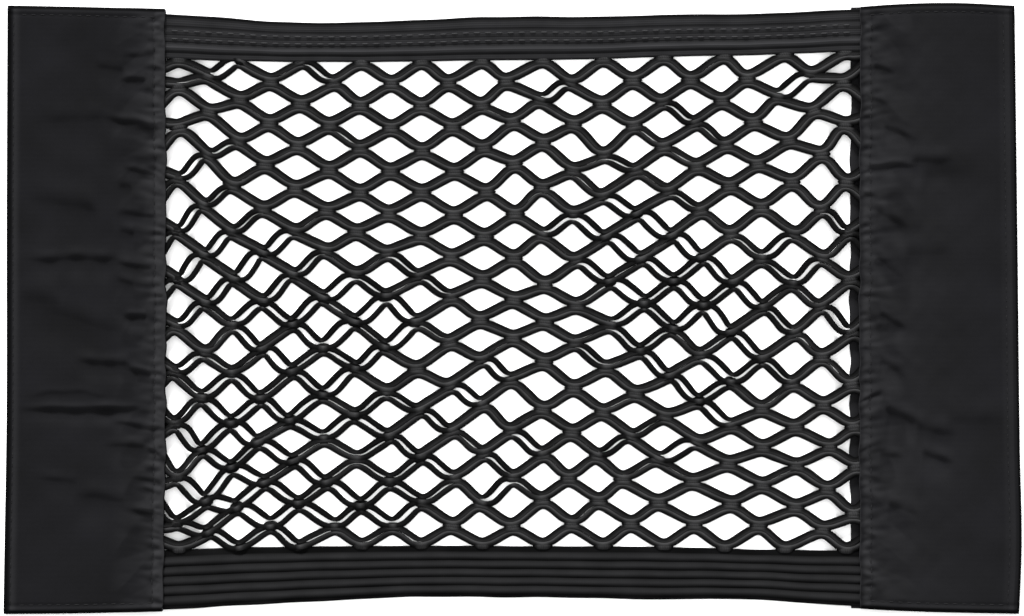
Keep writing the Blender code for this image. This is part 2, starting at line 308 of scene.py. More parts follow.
# Where the two cords of a leg lie apart, for legs that rise and legs that fall to the right
SLACKS = rows_of(
    Slack,
    (-0.128, 0.020, 0.016, 0.030, 0.0022, 0.0),
    (-0.098, 0.014, 0.026, 0.020, 0.0027, 0.0),
    (-0.062, -0.004, 0.022, 0.018, 0.0031, 0.0),
    (-0.068, -0.036, 0.022, 0.022, 0.0021, 0.0),
    (-0.114, -0.034, 0.026, 0.022, 0.0015, 0.0),
    (-0.100, -0.072, 0.036, 0.022, 0.0013, 0.0),
    (-0.050, -0.074, 0.024, 0.018, 0.0013, 0.0),
    (-0.122, 0.054, 0.012, 0.014, 0.0018, 0.0),
    (-0.113, 0.094, 0.009, 0.007, 0.0023, 0.0),
    (-0.090, 0.086, 0.008, 0.007, 0.0013, 0.0),
    (0.018, 0.086, 0.006, 0.006, 0.0021, 0.0),
    (0.113, 0.086, 0.008, 0.007, 0.0029, 0.0),
    (0.018, 0.033, 0.006, 0.006, 0.0018, 0.0),
    (0.062, 0.000, 0.028, 0.020, 0.0020, 0.0),
    (0.112, 0.018, 0.016, 0.014, 0.0018, 0.0),
    (0.101, -0.028, 0.010, 0.008, 0.0013, 0.0),
    (0.064, -0.055, 0.009, 0.008, 0.0034, 0.0),
    (0.046, -0.050, 0.014, 0.013, 0.0013, 0.0),
    (-0.006, -0.072, 0.008, 0.007, 0.0023, 0.0),
    (0.050, 0.022, 0.026, 0.024, 0.0, 0.0030),
    (0.084, 0.004, 0.022, 0.022, 0.0, 0.0025),
    (0.048, -0.014, 0.018, 0.012, 0.0, 0.0023),
    (0.128, -0.004, 0.012, 0.018, 0.0, 0.0020),
    (0.062, 0.070, 0.018, 0.012, 0.0, 0.0011),
    (0.036, 0.056, 0.012, 0.010, 0.0, 0.0016),
    (-0.077, 0.086, 0.007, 0.007, 0.0, 0.0023),
    (-0.088, -0.012, 0.030, 0.016, 0.0, 0.0021),
    (-0.050, 0.002, 0.020, 0.018, 0.0, 0.0020),
    (-0.104, -0.045, 0.034, 0.020, 0.0, 0.0029),
    (-0.100, -0.072, 0.036, 0.020, 0.0, 0.0034),
    (-0.014, -0.028, 0.011, 0.008, 0.0, 0.0027),
    (-0.042, -0.054, 0.024, 0.018, 0.0, 0.0017),
    (-0.052, -0.080, 0.016, 0.012, 0.0, 0.0016),
    (0.004, -0.061, 0.010, 0.009, 0.0, 0.0026),
    (0.078, -0.020, 0.014, 0.008, 0.0, 0.0020),
    (0.131, 0.031, 0.009, 0.012, 0.0, 0.0012),
    (0.067, -0.032, 0.007, 0.006, 0.0, 0.0016),
    (0.080, -0.041, 0.008, 0.006, 0.0, 0.0016),
    (0.105, -0.027, 0.008, 0.008, 0.0, 0.0010),
    (0.081, -0.031, 0.006, 0.005, 0.0014, 0.0),
    (0.090, -0.024, 0.008, 0.007, 0.0010, 0.0),
)

LEG_STEPS = 11
CORD_SIDES = 8
KNOT_SIDES = 8
KNOT_STEPS = 9
KNOT_HALF_HEIGHT = 0.00063
# How much a cord climbs over the others at the loosest knots
CROSSING_LIFT = 0.0009
# How far the outermost cords and knots are moved on towards the bands, as if sewn to them
CORD_OVERLAP = 0.0005
KNOT_OVERLAP = 0.0002
# The clear gap in a leg at which its knots are loose, its cords run apart, and its bends are rounder
LOOSE_GAP = 0.0015
APART_GAP = 0.0009
ROUND_GAP = 0.0012
MOST_GAP = 0.0031

TOP_GROOVES = rows_of(
    Groove,
    (0.190, 0.050, -0.00007),
    (0.290, 0.028, 0.00016),
    (0.385, 0.040, -0.00008),
    (0.465, 0.024, 0.00010),
    (0.550, 0.040, -0.00005),
    (0.630, 0.026, 0.00018),
    (0.745, 0.048, -0.00028),
    (0.855, 0.034, 0.00030),
)
TOP_STITCH_ROWS = (0.370, 0.550)
# The depth at which the painted shade in a groove of the stitched band is full
GROOVE_DARK = 0.00042
TOP_COLUMNS = 110
BOTTOM_COLUMNS = 101
BAND_STATIONS = 180
BAND_BACK_COLUMNS = 12

PANEL_WIDTH = 0.0611
PANEL_LENGTH = 0.2385
PANEL_STATIONS = 440
FACE_COLUMNS = 111
INNER_STEP = 5
BACK_COLUMNS = 22
FOLD_PARTS = 8
EDGE_PARTS = 4
PUCKERS = 70
# Half the width of the groove along a stitch row, and of the roll of a turned edge
ROW_WIDTH = 0.0006
ROLL_WIDTH = 0.0011
STITCH_STEPS = 6
STITCH_SIDES = 6
BAND_STITCH_SHARE = 0.62
BAND_STITCH_HEIGHT = 0.00022
PANEL_STITCH_SHARE = 0.6
PANEL_STITCH_HEIGHT = 0.00014
# How far from the band's ends its stitch rows stop
STITCH_ROW_MARGIN = 0.008

# Of each panel: how much further in than the hem its fold's stitch row lies, how much painted shade
# darkens its fold's edge, and how much and how far painted light pales its cloth on the fold, at the seam
# (an amount below 0 paints a dark line there) and in scattered lit facets
LEFT_PANEL = PanelShape(
    name="left", side=-1.0, sides=LEFT_SIDES, ends=LEFT_ENDS, creases=LEFT_CREASES,
    back_reach=0.0, flat_width=0.1270, seed=71, row_shift=-0.0008,
    fold_dark=0.90, fold_width=0.0028, fold_wear=0.62, strip_wear=0.34,
    seam_wear=(Wear(0.60, 0.0092),), facet_start=0.015, facet_run=0.007,
)
RIGHT_PANEL = PanelShape(
    name="right", side=1.0, sides=RIGHT_SIDES, ends=RIGHT_ENDS, creases=RIGHT_CREASES,
    back_reach=0.0034, flat_width=0.1300, seed=72, row_shift=0.0013,
    fold_dark=0.25, fold_width=0.0044, fold_wear=0.30, strip_wear=0.25,
    seam_wear=(Wear(0.34, 0.0055), Wear(0.28, 0.0350), Wear(-0.75, 0.0016)),
    facet_start=0.014, facet_run=0.012,
)

SUN_PLACE = (0.0, 0.6, 0.5)
# Where the camera stands over the net, so that the picture's frame is the photo's
VIEW_X = -0.0002
VIEW_Y = 0.0002
SENSOR_WIDTH = 36.0


def eased(value):
    """0 below 0, 1 above 1, and a smooth rise between."""
    held = np.clip(value, 0.0, 1.0)
    return held * held * (3.0 - 2.0 * held)


def hump(value):
    """A bell of height 1 round 0, down to about a third at 1."""
    return np.exp(-np.square(value))


def curve_at(rows, key, field, at):
    """The field at places along the rows' key column, on a cubic curve through the rows."""
    keys = np.array([getattr(row, key) for row in rows])
    values = np.array([getattr(row, field) for row in rows])
    slopes = np.gradient(values, keys)
    held = np.clip(at, keys[0], keys[-1])
    first = np.clip(np.searchsorted(keys, held) - 1, 0, len(keys) - 2)
    span = keys[first + 1] - keys[first]
    part = (held - keys[first]) / span
    bend_in = part * (1.0 - part) ** 2 * slopes[first]
    bend_out = part**2 * (1.0 - part) * slopes[first + 1]
    blend = eased(part)
    return values[first] * (1.0 - blend) + values[first + 1] * blend + span * (bend_in - bend_out)


def rise(x):
    """Height of the underside of the net and the bands: up between the layers of each panel."""
    return TUCK_HEIGHT * eased((np.abs(x) - RISE_START) / (RISE_END - RISE_START))


def tucked(x):
    """How far the net is pressed flat on its way into a panel, from 0 to 1."""
    return eased((np.abs(x) - PRESS_START) / PRESS_RUN)


def wander(seed, x, y, length):
    """A soft uneven field, mostly from -1 to 1: a sum of sines in seeded directions, about a length apart."""
    draw = np.random.default_rng(seed)
    total = np.zeros(np.broadcast(x, y).shape)
    for turn, phase, stretch in draw.random((FIELD_WAVES, 3)):
        pitch = length * (0.7 + 0.8 * stretch)
        along = x * math.cos(math.tau * turn) + y * math.sin(math.tau * turn)
        total = total + np.sin(math.tau * (along / pitch + phase))
    return total * 1.6 / FIELD_WAVES


def unit(vectors):
    """The vectors at length 1."""
    return vectors / np.maximum(np.linalg.norm(vectors, axis=-1, keepdims=True), 1e-12)


def crosswise(ways):
    """Level directions a quarter turn to the left of level ways."""
    return np.stack([-ways[..., 1], ways[..., 0]], axis=-1)


def add_mesh(name, points, faces, texture, material, dark=None):
    """A smooth mesh object of the points, its faces of any size, and a texture place for each corner.

    dark, if given, is the painted shade of each point in a hollow or on an edge, up to 1, and below 0,
    down to -1, its painted light.
    """
    mesh = bpy.data.meshes.new(name)
    sizes = np.concatenate([np.full(len(group), group.shape[1]) for group in faces])
    corners = np.concatenate([group.ravel() for group in faces])
    starts = np.concatenate([[0], np.cumsum(sizes)[:-1]])
    mesh.vertices.add(len(points))
    mesh.vertices.foreach_set("co", points.astype(np.float32).ravel())
    mesh.loops.add(len(corners))
    mesh.loops.foreach_set("vertex_index", corners.astype(np.int32))
    mesh.polygons.add(len(sizes))
    mesh.polygons.foreach_set("loop_start", starts.astype(np.int32))
    mesh.update(calc_edges=True)
    places = mesh.uv_layers.new(name="lengths")
    places.data.foreach_set("uv", texture.astype(np.float32).ravel())
    if dark is not None:
        shade = mesh.attributes.new("dark", "FLOAT", "POINT")
        shade.data.foreach_set("value", dark.astype(np.float32).ravel())
    mesh.validate()
    mesh.shade_smooth()
    mesh.materials.append(material)
    piece = bpy.data.objects.new(name, mesh)
    bpy.context.scene.collection.objects.link(piece)
    return piece


def lengths_along(steps):
    """Places along runs of steps, from 0 at each run's start."""
    return np.concatenate([np.zeros((len(steps), 1)), np.cumsum(steps, axis=1)], axis=1)


def loft(name, sections, material, dark=None):
    """Closed strips: each row of sections is a run of equal closed outlines, joined ring to ring.

    sections has the shape (strips, rings, outline, 3), with each outline anticlockwise about the way
    the strip runs. Quads join ring to ring and one flat face closes each end. The texture place is the
    length along the strip's middle and the length round the outline, both in metres.
    """
    strips, rings, outline, _ = sections.shape
    index = np.arange(strips * rings * outline).reshape(strips, rings, outline)
    after = np.roll(index, -1, axis=2)
    quads = np.stack([index[:, :-1], after[:, :-1], after[:, 1:], index[:, 1:]], axis=-1)
    middle = sections.mean(axis=2)
    along = lengths_along(np.linalg.norm(np.diff(middle, axis=1), axis=-1))
    edges = np.linalg.norm(np.roll(sections, -1, axis=2) - sections, axis=-1)
    round_it = lengths_along(edges.mean(axis=1))
    near = np.broadcast_to(round_it[:, None, :-1], (strips, rings - 1, outline))
    far = np.broadcast_to(round_it[:, None, 1:], near.shape)
    low = np.broadcast_to(along[:, :-1, None], near.shape)
    high = np.broadcast_to(along[:, 1:, None], near.shape)
    quad_texture = np.stack([low, near, low, far, high, far, high, near], axis=-1)
    end_texture = np.zeros((2 * strips * outline, 2))
    texture = np.concatenate([quad_texture.reshape(-1, 2), end_texture])
    faces = [quads.reshape(-1, 4), index[:, 0, ::-1], index[:, -1, :]]
    return add_mesh(name, sections.reshape(-1, 3), faces, texture, material, dark)


def swept(paths, half_width, half_height, sides):
    """Oval outlines round paths of shape (strips, rings, 3), level across and square to the path.

    A point is the path's own, plus the sideways direction by the cosine of its angle and half the
    width, plus the upward direction by the sine and half the height.
    """
    ways = unit(np.gradient(paths, axis=1))
    across = unit(np.stack([-ways[..., 1], ways[..., 0], np.zeros(ways.shape[:-1])], axis=-1))
    upward = np.cross(ways, across)
    angle = math.tau * np.arange(sides) / sides
    wide = np.cos(angle)[:, None] * across[..., None, :] * half_width[..., None, None]
    high = np.sin(angle)[:, None] * upward[..., None, :] * half_height[..., None, None]
    return paths[..., None, :] + wide + high


class Term:
    """A varying number in a material: its + - and * add Math nodes."""

    def __init__(self, finish, socket):
        self.finish = finish
        self.socket = socket

    def joined(self, operation, first, second=0.0):
        """What a Math node makes of one or two numbers."""
        node = self.finish.add("ShaderNodeMath", {"operation": operation}, {0: first, 1: second})
        return Term(self.finish, node.outputs[0])

    def __add__(self, other):
        return self.joined("ADD", self, other)

    def __radd__(self, other):
        return self.joined("ADD", other, self)

    def __sub__(self, other):
        return self.joined("SUBTRACT", self, other)

    def __rsub__(self, other):
        return self.joined("SUBTRACT", other, self)

    def __mul__(self, other):
        return self.joined("MULTIPLY", self, other)

    def __rmul__(self, other):
        return self.joined("MULTIPLY", other, self)

    def wave(self, pitch):
        """A sine of this length, from 0 to 1."""
        return self.joined("SINE", self * (math.tau / pitch)) * 0.5 + 0.5

    def most(self, other):
        """The greater of the two."""
        return self.joined("MAXIMUM", self, other)


class Finish:
    """A material on a Principled shader, with constant sockets set once and varying ones linked."""

    def __init__(self, name, roughness, specular):
        self.material = bpy.data.materials.new(name)
        self.material.use_nodes = True
        self.tree = self.material.node_tree
        self.shader = self.tree.nodes["Principled BSDF"]
        self.shader.inputs["Roughness"].default_value = roughness
        self.shader.inputs["Specular IOR Level"].default_value = specular

    def add(self, kind, settings, inputs):
        """A node of this type: its settings first, then the values or links of its sockets."""
        node = self.tree.nodes.new(kind)
        for key, value in settings.items():
            setattr(node, key, value)
        for key, value in inputs.items():
            self.feed(node.inputs[key], value)
        return node

    def feed(self, socket, value):
        """Links a term or a socket, or sets a plain value."""
        if isinstance(value, Term):
            self.tree.links.new(value.socket, socket)
        elif isinstance(value, bpy.types.NodeSocket):
            self.tree.links.new(value, socket)
        else:
            socket.default_value = value

    def split(self, vector):
        """A vector socket's parts, as three terms."""
        node = self.add("ShaderNodeSeparateXYZ", {}, {0: vector})
        return tuple(Term(self, output) for output in node.outputs)

    def lengths(self):
        """The piece's own texture place, as two terms in metres."""
        place = self.add("ShaderNodeUVMap", {"uv_map": "lengths"}, {})
        return self.split(place.outputs[0])[:2]

    def object_place(self):
        """Object coordinates, as a socket in metres."""
        return self.add("ShaderNodeTexCoord", {}, {}).outputs["Object"]

    def noise(self, length, detail=2.0):
        """Soft noise from 0 to 1, with lumps of this length."""
        inputs = {"Vector": self.object_place(), "Scale": 1.0 / length, "Detail": detail}
        return Term(self, self.add("ShaderNodeTexNoise", {}, inputs).outputs["Fac"])

    def between(self, share, first, second):
        """A colour between two, by a term from 0 to 1."""
        inputs = {0: share, 6: first, 7: second}
        mix = self.add("ShaderNodeMix", {"data_type": "RGBA", "clamp_factor": True}, inputs)
        return mix.outputs[2]

    def tinted(self, share, colour, low, high):
        """The colour at a brightness between two shares of its own, by a term from 0 to 1."""
        return self.between(share, scaled(colour, low), scaled(colour, high))

    def shaded(self, face, dark, pale=None):
        """The face's colour, towards the dark one where shade is painted and the pale one where light is
        painted.
        """
        shade = self.add("ShaderNodeAttribute", {"attribute_name": "dark"}, {})
        hollow = Term(self, shade.outputs["Fac"])
        if pale is not None:
            face = self.between(hollow * -1.0, face, pale)
        return self.between(hollow, face, dark)

    def coat(self, colour, height=None, depth=0.0001):
        """Feeds the base colour, and a bump of this depth from a height term, and gives the material."""
        self.feed(self.shader.inputs["Base Color"], colour)
        if height is not None:
            bump = self.add("ShaderNodeBump", {}, {"Height": height, "Distance": depth})
            self.feed(self.shader.inputs["Normal"], bump.outputs["Normal"])
        return self.material


def scaled(colour, share):
    """The colour with its brightness multiplied."""
    return tuple(part * share for part in colour[:3]) + (1.0,)


def cord_finish(colour):
    """Covered elastic cord: a braid of two crossing sets of yarns, with painted shade on its outer sides."""
    finish = Finish("covered_cord", 0.75, 0.0)
    along, round_it = finish.lengths()
    one_way = (along + round_it * 0.9).wave(0.0009)
    other_way = (along - round_it * 0.9).wave(0.0009)
    braid = one_way.most(other_way)
    share = braid * 0.4 + finish.noise(0.006) - 0.2
    face = finish.tinted(share, colour, 0.5, 1.5)
    return finish.coat(finish.shaded(face, scaled(colour, 0.07)), braid, 0.00006)


def knot_finish(colour):
    """Knitted knot: yarn loops across it, with a loose fuzzy surface, and painted shade where it tapers away.
    """
    finish = Finish("knitted_knot", 0.85, 0.0)
    along, round_it = finish.lengths()
    loops = (along + round_it.wave(0.0018) * 0.0004).wave(0.0009)
    share = loops * 0.4 + finish.noise(0.0022) * 0.9 - 0.15
    face = finish.tinted(share, colour, 0.55, 1.5)
    return finish.coat(finish.shaded(face, scaled(colour, 0.09)), loops, 0.00008)


def rib_finish(colour):
    """Ribbed elastic: fine weft across the ribs, with painted shade down in the grooves."""
    finish = Finish("ribbed_elastic", 0.80, 0.01)
    along, _ = finish.lengths()
    weft = along.wave(0.0007)
    share = finish.noise(0.010) * 0.9 + weft * 0.2 - 0.05
    face = finish.tinted(share, colour, 0.7, 1.3)
    return finish.coat(finish.shaded(face, scaled(colour, 0.16)), weft, 0.00005)


def band_finish(colour):
    """Flat knitted elastic: fine wales along it and courses across it, with painted shade in its grooves and
    on its edges and painted highlight on its ridges.
    """
    finish = Finish("knitted_elastic", 0.80, 0.01)
    along, round_it = finish.lengths()
    wales = round_it.wave(0.00085)
    courses = along.wave(0.0008)
    share = wales * 0.25 + courses * 0.15 + finish.noise(0.009) * 0.8 - 0.1
    face = finish.tinted(share, colour, 0.6, 1.4)
    shade = finish.shaded(face, scaled(colour, 0.16), scaled(colour, 2.2))
    return finish.coat(shade, wales * 0.7 + courses * 0.3, 0.00006)


def cloth_finish(colour):
    """Plain woven cloth: over and under squares, a faint slub and slow changes of tone, with painted shade
    and painted light.
    """
    finish = Finish("woven_cloth", 0.85, 0.01)
    x, y, _ = finish.split(finish.object_place())
    weave = x.wave(0.00052) * y.wave(0.00048)
    slub = finish.noise(0.0012)
    share = weave * 0.12 + slub * 0.25 + finish.noise(0.022, 3.0) * 1.3 - 0.40
    cool = (colour[0] * 1.22, colour[1] * 1.22, colour[2] * 1.32, 1.0)
    face = finish.between(share, scaled(colour, 0.80), cool)
    shade = finish.shaded(face, scaled(colour, 0.22), scaled(colour, 2.5))
    return finish.coat(shade, weave + slub * 0.6, 0.00004)


def thread_finish(name, colour):
    """Sewing thread: two plies twisted together."""
    finish = Finish(name, 0.60, 0.04)
    along, round_it = finish.lengths()
    twist = (along + round_it).wave(0.0007)
    return finish.coat(finish.tinted(twist, colour, 0.7, 1.3), twist, 0.00004)


def floor_finish(colour):
    """Pale matte floor with a barely uneven surface."""
    finish = Finish("pale_floor", 0.9, 0.1)
    return finish.coat(finish.tinted(finish.noise(0.4), colour, 0.99, 1.0))


def number_field(name, description, default):
    """A plain number that a user can change."""
    return FloatProperty(name=name, description=description, default=default)


def length_field(name, description, default):
    """A length in metres that a user can change."""
    return FloatProperty(name=name, description=description, default=default, unit="LENGTH")


def angle_field(name, description, degrees):
    """An angle that a user can change."""
    return FloatProperty(
        name=name, description=description, default=math.radians(degrees), subtype="ANGLE"
    )


def colour_field(name, description, red, green, blue):
    """A colour that a user can change."""
    return FloatVectorProperty(
        name=name, description=description, default=(red, green, blue, 1.0), subtype="COLOR", size=4
    )


class StageProperties(bpy.types.PropertyGroup):
    """What the net lies on and how it is lit and seen."""

    floor_colour: colour_field("Floor colour", "Colour of the floor", 0.97, 0.97, 0.97)
    floor_size: length_field("Floor size", "Length of the floor's sides", 6.0)
    sky_strength: number_field("Sky strength", "Strength of the even light from all round", 1.45)
    sun_strength: number_field("Sun strength", "Strength of the soft slanting light", 10.6)
    sun_height: angle_field("Sun height", "Angle of the slanting light above the floor", 20.0)
    sun_turn: angle_field("Sun turn", "Angle of the slanting light away from straight across the net", 8.0)
    sun_width: angle_field("Sun width", "Angle that the slanting light spreads over", 14.0)
    camera_height: length_field("Camera height", "Height of the camera above the floor", 1.30)
    view_width: length_field("View width", "Length of floor that the picture's width shows", 0.4027)


class NetProperties(bpy.types.PropertyGroup):
    """The cords and their knots."""

    cord_thickness: length_field("Cord thickness", "Height of a cord above what it lies on", 0.0012)
    cord_width: length_field("Cord width", "Width of a cord", 0.00236)
    pair_spacing: length_field("Pair spacing", "Distance between the middles of a pair's two cords", 0.00215)
    knot_spacing: length_field("Knot spacing", "The same distance where a knot holds the pair", 0.00158)
    straight_length: length_field(
        "Straight length", "Length that a pair runs on from a knot before the middle of its bend", 0.0020
    )
    bend_length: length_field("Bend length", "Length over which a pair bends", 0.0064)
    knot_length: length_field("Knot length", "Half the length of a knot", 0.0035)
    knot_width: length_field("Knot width", "Half the width of a knot", 0.00128)
    cord_colour: colour_field("Cord colour", "Colour of the cords", 0.0205, 0.0205, 0.0209)
    knot_colour: colour_field("Knot colour", "Colour of the knots", 0.0170, 0.0170, 0.0174)


class BandProperties(bpy.types.PropertyGroup):
    """The two elastic bands."""

    rib_count: IntProperty(name="Ribs", description="Ribs along the ribbed band", default=5)
    rib_start: number_field("First groove", "Share of the ribbed band's width before its first rib", 0.07)
    rib_end: number_field("Last groove", "Share of the ribbed band's width where its last rib ends", 0.89)
    base_height: length_field("Groove height", "Height of the ribbed band in its grooves", 0.00050)
    rib_height: length_field("Rib height", "Height of the ribs above the grooves", 0.00085)
    flat_height: length_field("Flat height", "Thickness of the stitched band", 0.00120)
    stitch_pitch: length_field("Stitch pitch", "Distance between stitches along a band", 0.0044)
    thread_diameter: length_field("Thread diameter", "Diameter of the band's stitches", 0.0006)
    band_colour: colour_field("Band colour", "Colour of the stitched band", 0.0104, 0.0104, 0.0110)
    rib_colour: colour_field("Ribbed band colour", "Colour of the ribbed band", 0.0112, 0.0112, 0.0117)
    thread_colour: colour_field("Thread colour", "Colour of the band's stitches", 0.0200, 0.0200, 0.0208)


class PanelProperties(bpy.types.PropertyGroup):
    """The two folded cloth panels."""

    thickness: length_field("Thickness", "Thickness of the cloth", 0.0006)
    fold_radius: length_field("Fold radius", "How far the outer fold stands out past the face", 0.0014)
    hem_width: length_field("Hem width", "Distance of the stitch rows from the edges", 0.0035)
    crease_scale: number_field("Crease scale", "Depth of the creases against the tables", 1.0)
    seam_strip: length_field("Seam strip", "Width of the strip between the seam and its stitch row", 0.0040)
    pucker_depth: length_field("Pucker depth", "Depth of the fine puckers along the seam", 0.00026)
    stitch_pitch: length_field("Stitch pitch", "Distance between stitches along a seam", 0.0036)
    thread_diameter: length_field("Thread diameter", "Diameter of the sewing thread", 0.00034)
    cloth_colour: colour_field("Cloth colour", "Colour of the panels", 0.0060, 0.0060, 0.0064)
    thread_colour: colour_field("Thread colour", "Colour of the panels' stitches", 0.0086, 0.0086, 0.0092)


def pulled(x, y, pulls, fade):
    """How far the pulls move places: each moves its own way by a bell of the distance from its middle."""
    moved = np.zeros(x.shape + (2,))
    for pull in pulls:
        share = fade * hump((x - pull.x) / pull.reach_x) * hump((y - pull.y) / pull.reach_y)
        moved += share[..., None] * (pull.move_x, pull.move_y)
    return moved


def knot_places():
    """Where the net's knots rest, by half-cell column and row: an even grid between the bands, pulled.

    The main pulls fade out towards the net's whole border. The small ones and a wandering field fade
    out only beside the bands.
    """
    column = np.arange(CELL_COLUMNS + 1.0)[:, None]
    down = np.arange(CELL_ROWS + 1.0)[None, :] / CELL_ROWS
    x = NET_LENGTH * (column / CELL_COLUMNS - 0.5) + 0.0 * down
    high_y = curve_at(TOP_BAND, "x", "inner_y", x) - CLEARANCE
    low_y = curve_at(BOTTOM_BAND, "x", "inner_y", x) + CLEARANCE
    y = high_y + (low_y - high_y) * down
    across_border = 1.0 - np.abs(2.0 * column / CELL_COLUMNS - 1.0)
    down_border = 1.0 - np.abs(2.0 * down - 1.0)
    held = eased(across_border / PULL_FADE) * eased(down_border / PULL_FADE)
    loose = eased(down_border / SMALL_PULL_FADE) + 0.0 * column
    uneven = np.stack([wander(11, x, y, 0.021), wander(12, x, y, 0.019)], axis=-1)
    moved = pulled(x, y, PULLS, held) + pulled(x, y, SMALL_PULLS, loose)
    return np.stack([x, y], axis=-1) + moved + GRID_UNEVENNESS * uneven * loose[..., None]


def softened(rows, times):
    """Each row's places moved this many times to the mean of themselves and their two neighbours."""
    for _ in range(times):
        inside = (rows[:, :-2] + 2.0 * rows[:, 1:-1] + rows[:, 2:]) / 4.0
        rows = np.concatenate([rows[:, :1], inside, rows[:, -1:]], axis=1)
    return rows


def band_side(row):
    """1 for the row of knots along the upper band, -1 along the lower one and 0 elsewhere."""
    return 1.0 * (row == 0) - (row == CELL_ROWS)


class Waves:
    """The net's waves: each zigzags between two rows of knots, over a peak and under a valley in turn.

    All arrays start with (wave, column) or (wave, leg).
    """

    def __init__(self, net):
        knots = knot_places()
        wave = np.arange(CELL_ROWS)[:, None]
        column = np.arange(CELL_COLUMNS + 1)[None, :]
        self.valley = (wave + column) % 2 == 0
        self.row = wave + self.valley
        self.column = column + 0 * wave
        self.side = np.where(self.valley, 1.0, -1.0)
        self.knot = knots[self.column, self.row]
        self.gap = self.leg_gaps()
        turn, self.loose = self.knot_turns(knots.shape[:2])
        self.way = self.knot_ways(knots, turn)
        lift = self.side * net.knot_spacing * (1.0 - 0.50 * self.loose)
        self.corner = self.knot + lift[..., None] * crosswise(self.way)
        self.corner[..., 1] += band_side(self.row) * CORD_OVERLAP

    def leg_gaps(self):
        """The clear gap between each leg's two cords: mostly none, with slits in the slack places.

        It is the greatest of a wandering field and the slacks' bells, times a random share.
        """
        middle = (self.knot[:, 1:] + self.knot[:, :-1]) / 2
        x = middle[..., 0]
        y = middle[..., 1]
        rising = self.valley[:, :-1]
        gap = -0.00012 + 0.00044 * wander(21, x, y, 0.026) + 0.00034 * wander(22, x + 0.3 * rising, y, 0.013)
        for slack in SLACKS:
            off = np.square((x - slack.x) / slack.reach_x) + np.square((y - slack.y) / slack.reach_y)
            gap = np.maximum(gap, hump(off) * np.where(rising, slack.rising, slack.falling))
        draw = np.random.default_rng(5)
        gap = gap * (0.50 + 0.95 * draw.random(gap.shape))
        return np.clip(gap, 0.0, MOST_GAP)

    def knot_turns(self, shape):
        """How far each knot is turned towards its tighter legs, and how loose it is, from its legs' gaps."""
        loose = eased(self.gap / LOOSE_GAP)
        rising = self.valley[:, :-1]
        total = np.zeros((2, 2) + shape)
        for end in (np.s_[:, :-1], np.s_[:, 1:]):
            places = (self.column[end], self.row[end])
            for kind, legs in enumerate((rising, ~rising)):
                np.add.at(total[0, kind], places, loose * legs)
                np.add.at(total[1, kind], places, 1.0 * legs)
        mean = total[0] / np.maximum(total[1], 1.0)
        turn = 0.60 * (mean[1] - mean[0])
        most = np.maximum(mean[0], mean[1])
        return turn[self.column, self.row], most[self.column, self.row]

    def knot_ways(self, knots, turn):
        """The direction in which the cords run through each knot: along its row, turned by its turn."""
        along = unit(np.gradient(knots, axis=0))[self.column, self.row]
        return along * np.cos(turn)[..., None] + crosswise(along) * np.sin(turn)[..., None]

    def pair_paths(self, net):
        """Each wave's middle line and its level direction, with its length share on every leg.

        A leg runs on from its knot, bends, runs straight to where the next knot's run begins, and
        bends into it: three straight runs whose directions cross-fade over the bend's length.
        """
        start = self.corner[:, :-1]
        end = self.corner[:, 1:]
        leave = self.way[:, :-1]
        arrive = self.way[:, 1:]
        run = net.straight_length
        bend = net.bend_length
        between = end - arrive * run - start - leave * run
        middle = np.linalg.norm(between, axis=-1)
        across = between / middle[..., None]
        at = np.arange(LEG_STEPS) / LEG_STEPS
        at = at + 0.035 * np.sin(2.0 * math.tau * at)
        total = middle + 2.0 * run
        gone = at * total[..., None]
        left = total[..., None] - gone

        def covered(length):
            """How far a length of path from a knot takes it in the knot's own direction."""
            held = np.minimum(length, run + bend / 2)
            return held - np.maximum(held - run + bend / 2, 0.0) ** 2 / (2.0 * bend)

        first = covered(gone)
        last = run - covered(left)
        inside = gone - first - last
        flat = start[:, :, None] + leave[:, :, None] * first[..., None]
        flat = flat + arrive[:, :, None] * last[..., None] + across[:, :, None] * inside[..., None]
        near = np.clip((run + bend / 2 - gone) / bend, 0.0, 1.0)[..., None]
        far = np.clip((run + bend / 2 - left) / bend, 0.0, 1.0)[..., None]
        way = near * leave[:, :, None] + far * arrive[:, :, None] + (1.0 - near - far) * across[:, :, None]
        flat = np.concatenate([flat.reshape(CELL_ROWS, -1, 2), end[:, -1:]], axis=1)
        way = np.concatenate([unit(way).reshape(CELL_ROWS, -1, 2), arrive[:, -1:]], axis=1)
        return flat, way, at

    def along_legs(self, values):
        """Values of shape (wave, leg, step) as one row per wave, with a closing zero."""
        rows = values.reshape(CELL_ROWS, -1)
        return np.concatenate([rows, np.zeros((CELL_ROWS, 1))], axis=1)

    def cords(self, net, upper):
        """The upper (1) or lower (-1) cord of every wave: its middle line, half width and painted shade.

        It lies half the pair's spacing and half the leg's gap to its side of the wave's middle line.
        The gap opens and closes softly between the knots, and a share of the narrower gap stays open at
        each knot. The bends beside slack legs are rounded more. A cord gets painted shade on its pair's outer
        side and where it runs apart, and rises over the others at loose knots.
        """
        flat, way, at = self.pair_paths(net)
        side = crosswise(way)
        inner = (self.side * upper < 0).astype(float)
        near = 1.0 - eased((at - 0.06) / 0.16)
        far = 1.0 - eased((0.94 - at) / 0.16)

        def at_knots(values):
            """Values of the knots along each wave, fading out from them."""
            rows = self.along_legs(values[:, :-1, None] * near + values[:, 1:, None] * far)
            rows[:, -1] = values[:, -1]
            return rows

